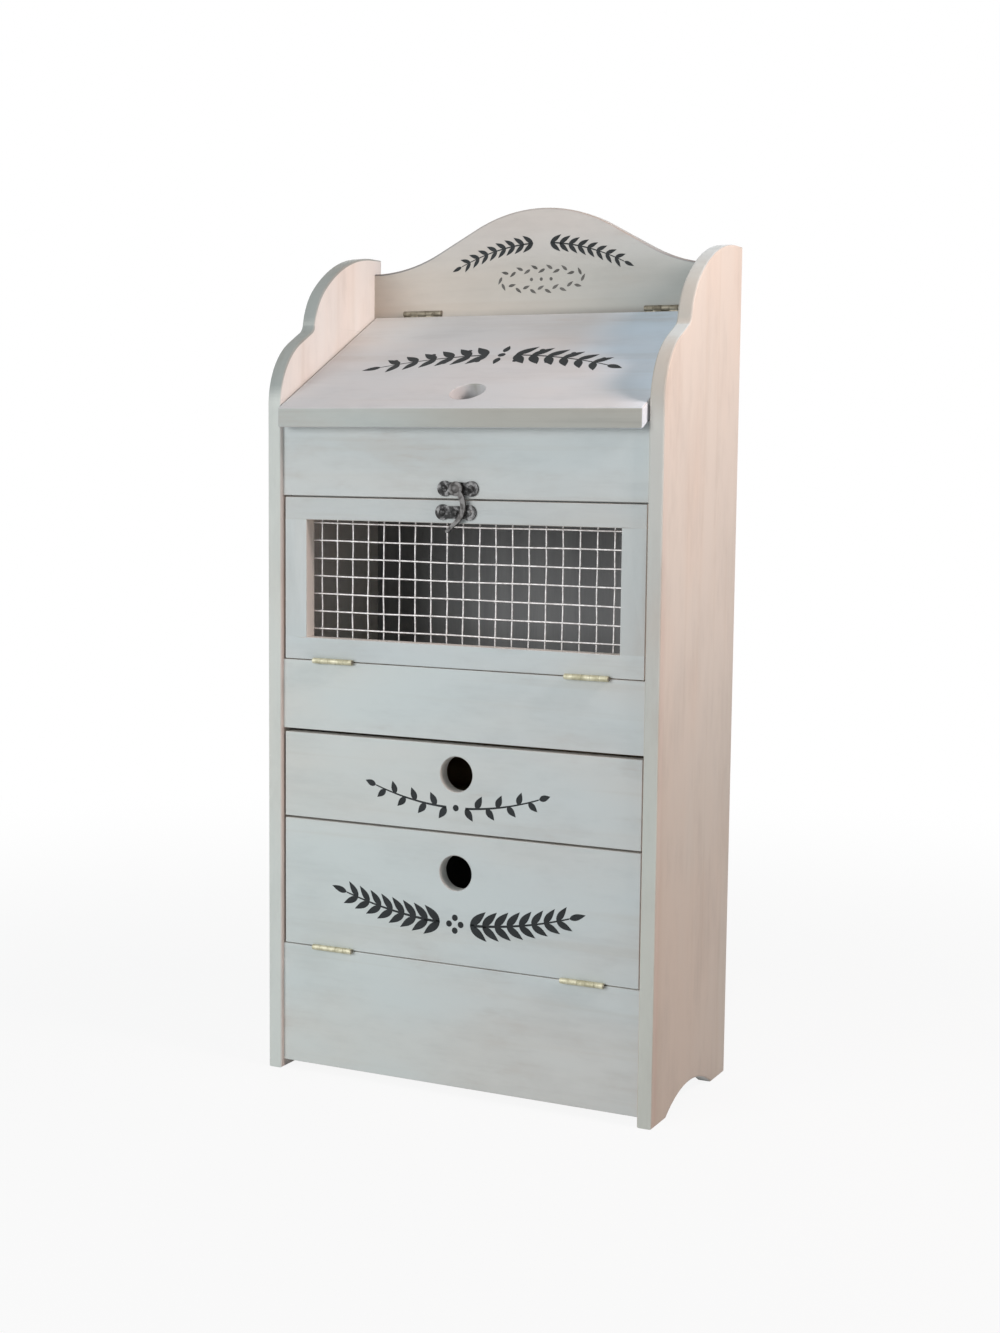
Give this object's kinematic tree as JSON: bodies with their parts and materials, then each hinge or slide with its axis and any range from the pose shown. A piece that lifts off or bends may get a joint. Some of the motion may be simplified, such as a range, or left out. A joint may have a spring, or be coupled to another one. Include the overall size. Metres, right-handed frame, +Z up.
{
  "type": "vegetable bin",
  "caption": "Narrow standing vegetable bin with a sloping lid over an upper bin, a mesh door, a drawer and a lower flap door.",
  "frame": {"origin": "on the floor, under the middle of the cabinet's bounding box", "axes": "+Z up, the fronts face -Y, +X to the right of someone facing the fronts"},
  "size_m": [0.305, 0.153, 0.635],
  "materials": {
    "painted_front": "thin milky paint, satin, brushed along the board",
    "painted_side": "thin warm white paint, satin, brushed along the board",
    "bare_wood": "unpainted, sanded",
    "plywood": "unpainted, sanded",
    "zinc_wire": "zinc coated",
    "magnet": "nickel plated",
    "hinge_brass": "brass plated, slightly dulled",
    "latch_bronze": "dark antique bronze, worn lighter on the arm"
  },
  "bodies": {
    "cabinet": {"side_panel_left": "painted_side", "side_panel_right": "painted_side", "crest_board": "painted_front", "back_panel": "plywood", "bottom_board": "bare_wood", "drawer_shelf": "bare_wood", "bin_shelf": "bare_wood", "lower_front_panel": "painted_front", "middle_front_panel": "painted_front", "upper_front_rail": "painted_front", "mesh_door_stop": "bare_wood", "frame_dowels": "bare_wood", "back_panel_pins": "zinc_wire", "flap_magnet": "magnet", "crest_leaf_left": "hinge_brass", "crest_leaf_right": "hinge_brass", "lid_hinge_pins": "hinge_brass", "crest_leaf_screws": "hinge_brass", "middle_panel_leaf_left": "hinge_brass", "middle_panel_leaf_right": "hinge_brass", "mesh_door_hinge_pins": "hinge_brass", "middle_panel_leaf_screws": "hinge_brass", "lower_panel_leaf_left": "hinge_brass", "lower_panel_leaf_right": "hinge_brass", "flap_hinge_pins": "hinge_brass", "lower_panel_leaf_screws": "hinge_brass", "latch_plate": "latch_bronze", "latch_rivet": "latch_bronze", "latch_plate_screws": "latch_bronze"},
    "lid": {"lid_board": "painted_front", "lid_leaf_left": "hinge_brass", "lid_leaf_right": "hinge_brass", "lid_leaf_screws": "hinge_brass"},
    "mesh_door": {"mesh_door_top_rail": "painted_front", "mesh_door_bottom_rail": "painted_front", "mesh_door_left_stile": "painted_front", "mesh_door_right_stile": "painted_front", "wire_mesh": "zinc_wire", "mesh_staples": "zinc_wire", "mesh_door_leaf_left": "hinge_brass", "mesh_door_leaf_right": "hinge_brass", "mesh_door_leaf_screws": "hinge_brass", "catch_plate": "latch_bronze", "catch_plate_screws": "latch_bronze"},
    "drawer": {"drawer_front": "painted_front", "drawer_side_left": "bare_wood", "drawer_side_right": "bare_wood", "drawer_back": "bare_wood", "drawer_bottom": "plywood", "drawer_pins": "zinc_wire"},
    "lower_flap": {"flap_board": "painted_front", "flap_keeper_disc": "zinc_wire", "flap_keeper_screw": "zinc_wire", "flap_leaf_left": "hinge_brass", "flap_leaf_right": "hinge_brass", "flap_leaf_screws": "hinge_brass"},
    "latch_arm": {"latch_hook": "latch_bronze"}
  },
  "joints": [
    {"name": "lid_hinge", "type": "hinge", "parent": "cabinet", "child": "lid", "pos_m": [0, 0.0652, 0.55977], "axis": [-1, 0, 0], "range_deg": [0, 118.5]},
    {"name": "mesh_door_hinge", "type": "hinge", "parent": "cabinet", "child": "mesh_door", "pos_m": [0, -0.0681, 0.3049], "axis": [1, 0, 0], "range_deg": [0, 110]},
    {"name": "flap_hinge", "type": "hinge", "parent": "cabinet", "child": "lower_flap", "pos_m": [0, -0.0681, 0.0946], "axis": [1, 0, 0], "range_deg": [0, 175]},
    {"name": "drawer_slide", "type": "slide", "parent": "cabinet", "child": "drawer", "axis": [0, -1, 0], "range_m": [0, 0.09]},
    {"name": "latch_pivot", "type": "hinge", "parent": "cabinet", "child": "latch_arm", "pos_m": [0, -0.07, 0.4299], "axis": [0, -1, 0], "range_deg": [-7, 100]}
  ]
}
